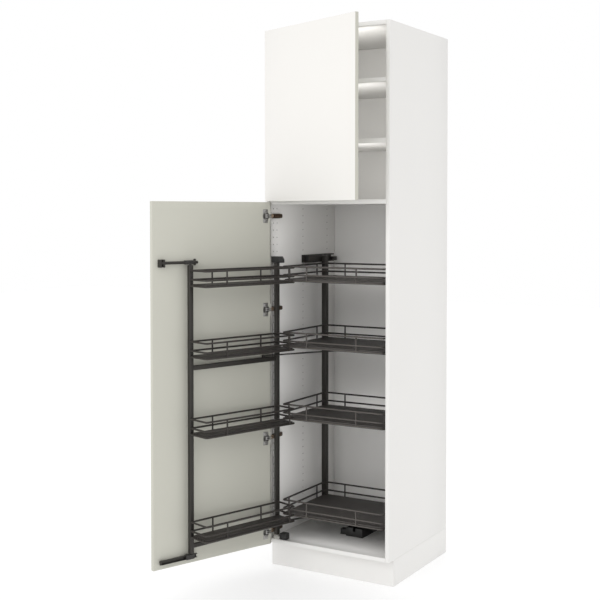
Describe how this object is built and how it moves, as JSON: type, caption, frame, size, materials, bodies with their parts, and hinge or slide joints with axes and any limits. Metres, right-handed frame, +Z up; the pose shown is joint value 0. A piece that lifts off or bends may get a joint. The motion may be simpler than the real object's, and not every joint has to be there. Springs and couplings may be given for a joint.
{
  "type": "pull out larder unit",
  "caption": "Tall kitchen larder cabinet with two hinged doors; opening the lower door swings out a frame of narrow baskets and draws deeper baskets forward on a rail.",
  "frame": {"origin": "on the floor, at mid width, in the middle of the thickness of the toe-kick board", "axes": "+X to the right as seen from the front, +Y to the back of the cabinet, +Z up"},
  "size_m": [0.806, 1.1995, 2.4],
  "materials": {
    "white_board": "warm white melamine-faced chipboard, satin",
    "door_board": "cream white painted board, smooth satin",
    "frame_metal": "dark bronze-grey powder coat, fine texture",
    "basket_wire": "dark bronze-grey powder coat on round wire",
    "basket_board": "dark grey-brown wood-grain laminate",
    "black_plastic": "matt black moulded plastic",
    "shoe_plastic": "matt dark brown-black nylon",
    "grey_plastic": "matt light grey nylon",
    "nickel": "satin nickel plate"
  },
  "bodies": {
    "cabinet": {"left_side_panel": "white_board", "right_side_panel": "white_board", "bottom_panel": "white_board", "top_panel": "white_board", "back_panel": "white_board", "middle_shelf": "white_board", "upper_shelf_1": "white_board", "upper_shelf_2": "white_board", "toe_kick": "white_board", "side_plinth": "white_board", "front_left_leg": "black_plastic", "front_right_leg": "black_plastic", "rear_left_leg": "black_plastic", "rear_right_leg": "black_plastic", "lower_hinge_arm_1": "nickel", "lower_hinge_arm_2": "nickel", "lower_hinge_arm_3": "nickel", "lower_hinge_arm_4": "nickel", "upper_hinge_arm_1": "nickel", "upper_hinge_arm_2": "nickel", "upper_hinge_arm_3": "nickel", "slide_rail": "frame_metal", "floor_track": "black_plastic", "pivot_foot": "grey_plastic", "pivot_block": "black_plastic", "top_pivot_bracket": "black_plastic"},
    "lower_door": {"lower_door": "door_board", "lower_hinge_cup_1": "nickel", "lower_hinge_cup_2": "nickel", "lower_hinge_cup_3": "nickel", "lower_hinge_cup_4": "nickel", "top_door_guide": "frame_metal", "bottom_door_guide": "frame_metal"},
    "upper_door": {"upper_door": "door_board", "upper_hinge_cup_1": "nickel", "upper_hinge_cup_2": "nickel", "upper_hinge_cup_3": "nickel"},
    "outer_frame": {"outer_frame": "frame_metal", "door_basket_1_cage": "basket_wire", "door_basket_2_cage": "basket_wire", "door_basket_3_cage": "basket_wire", "door_basket_4_cage": "basket_wire", "door_basket_1_board": "basket_board", "door_basket_2_board": "basket_board", "door_basket_3_board": "basket_board", "door_basket_4_board": "basket_board"},
    "guide_shoes": {"top_guide_shoe": "shoe_plastic", "bottom_guide_shoe": "shoe_plastic"},
    "inner_frame": {"inner_frame": "frame_metal", "slide_runner": "black_plastic", "inner_basket_1_cage": "basket_wire", "inner_basket_2_cage": "basket_wire", "inner_basket_3_cage": "basket_wire", "inner_basket_4_cage": "basket_wire", "inner_basket_1_board": "basket_board", "inner_basket_2_board": "basket_board", "inner_basket_3_board": "basket_board", "inner_basket_4_board": "basket_board"},
    "drive_rods": {"upper_drive_rod": "frame_metal", "lower_drive_rod": "frame_metal"}
  },
  "joints": [
    {"name": "lower_door_hinge", "type": "hinge", "parent": "cabinet", "child": "lower_door", "pos_m": [-0.296, -0.073, 0.876], "axis": [0, 0, 1], "range_deg": [0, 110]},
    {"name": "upper_door_hinge", "type": "hinge", "parent": "cabinet", "child": "upper_door", "pos_m": [-0.296, -0.073, 2.02], "axis": [0, 0, 1], "range_deg": [-89.2, 20.8]},
    {"name": "outer_frame_pivot", "type": "hinge", "parent": "cabinet", "child": "outer_frame", "pos_m": [-0.2595, -0.04, 0.76], "axis": [0, 0, 1], "range_deg": [0, 108.8]},
    {"name": "guide_shoe_slide", "type": "slide", "parent": "lower_door", "child": "guide_shoes", "axis": [-0.342, -0.9397, 0], "range_m": [0, 0.0804]},
    {"name": "inner_frame_slide", "type": "slide", "parent": "cabinet", "child": "inner_frame", "axis": [0, 1, 0], "range_m": [0, 0.1229]},
    {"name": "drive_rod_swing", "type": "hinge", "parent": "inner_frame", "child": "drive_rods", "pos_m": [0, 0.372, 0.96], "axis": [0, 0, 1], "range_deg": [0, 11.29]}
  ],
  "couplings": [
    {"joint": "outer_frame_pivot", "follows": "lower_door_hinge", "ratio": 0.98911},
    {"joint": "guide_shoe_slide", "follows": "lower_door_hinge", "m_per_rad": 0.041878},
    {"joint": "inner_frame_slide", "follows": "lower_door_hinge", "m_per_rad": 0.064015},
    {"joint": "drive_rod_swing", "follows": "lower_door_hinge", "ratio": 0.10264}
  ]
}
